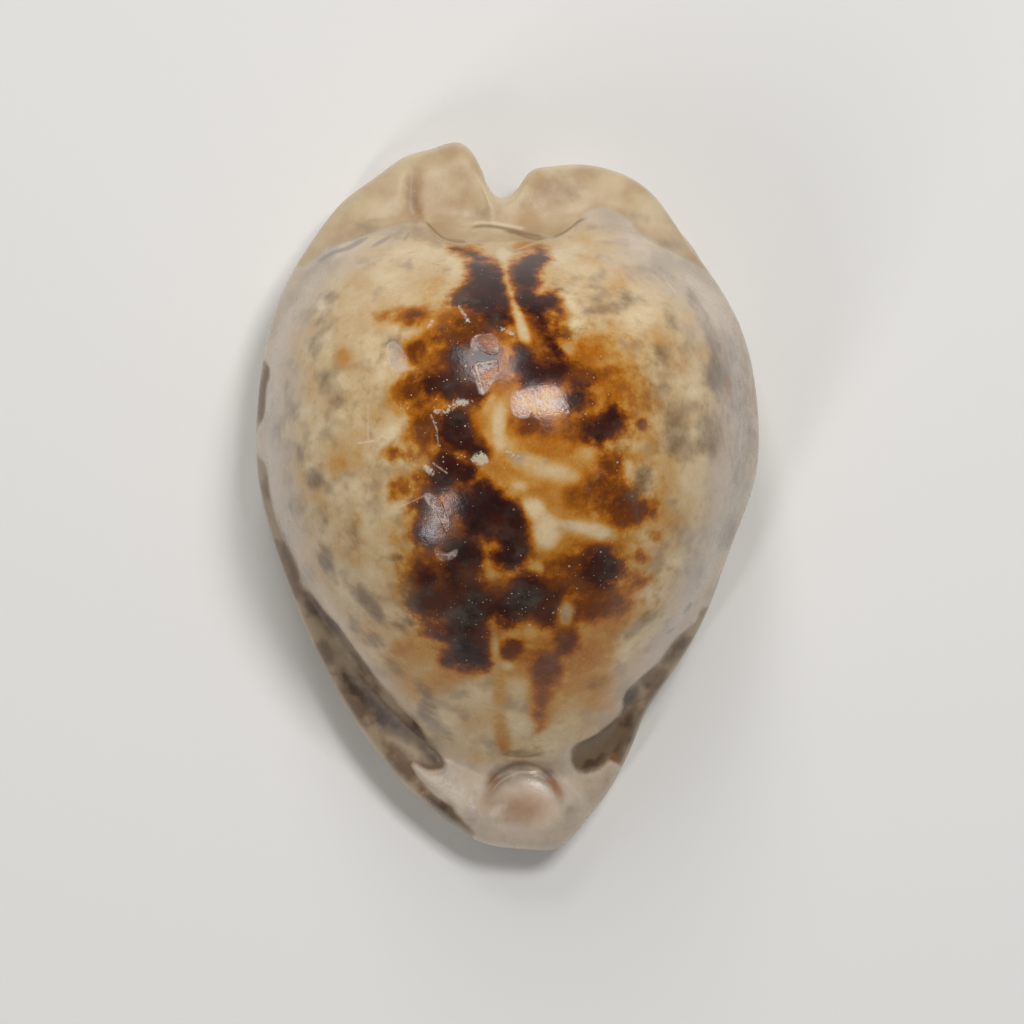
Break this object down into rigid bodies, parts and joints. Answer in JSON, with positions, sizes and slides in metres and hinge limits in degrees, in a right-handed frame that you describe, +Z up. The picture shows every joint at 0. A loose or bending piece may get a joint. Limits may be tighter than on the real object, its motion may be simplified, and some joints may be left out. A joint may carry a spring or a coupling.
{
  "type": "teuleres cowrie shell",
  "caption": "Glossy cowrie shell with a mottled brown and fawn back, callused margins and a smooth slit aperture.",
  "frame": {"origin": "centre of the bounding box, at the height of the flats the shell rests on", "axes": "+Z up through the crown, +Y to the hind end with the notch, +X to the columella's side"},
  "size_m": [0.0368, 0.0519, 0.0271],
  "materials": {
    "enamel": "glossy"
  },
  "bodies": {
    "root": {"shell": "enamel"}
  },
  "joints": []
}
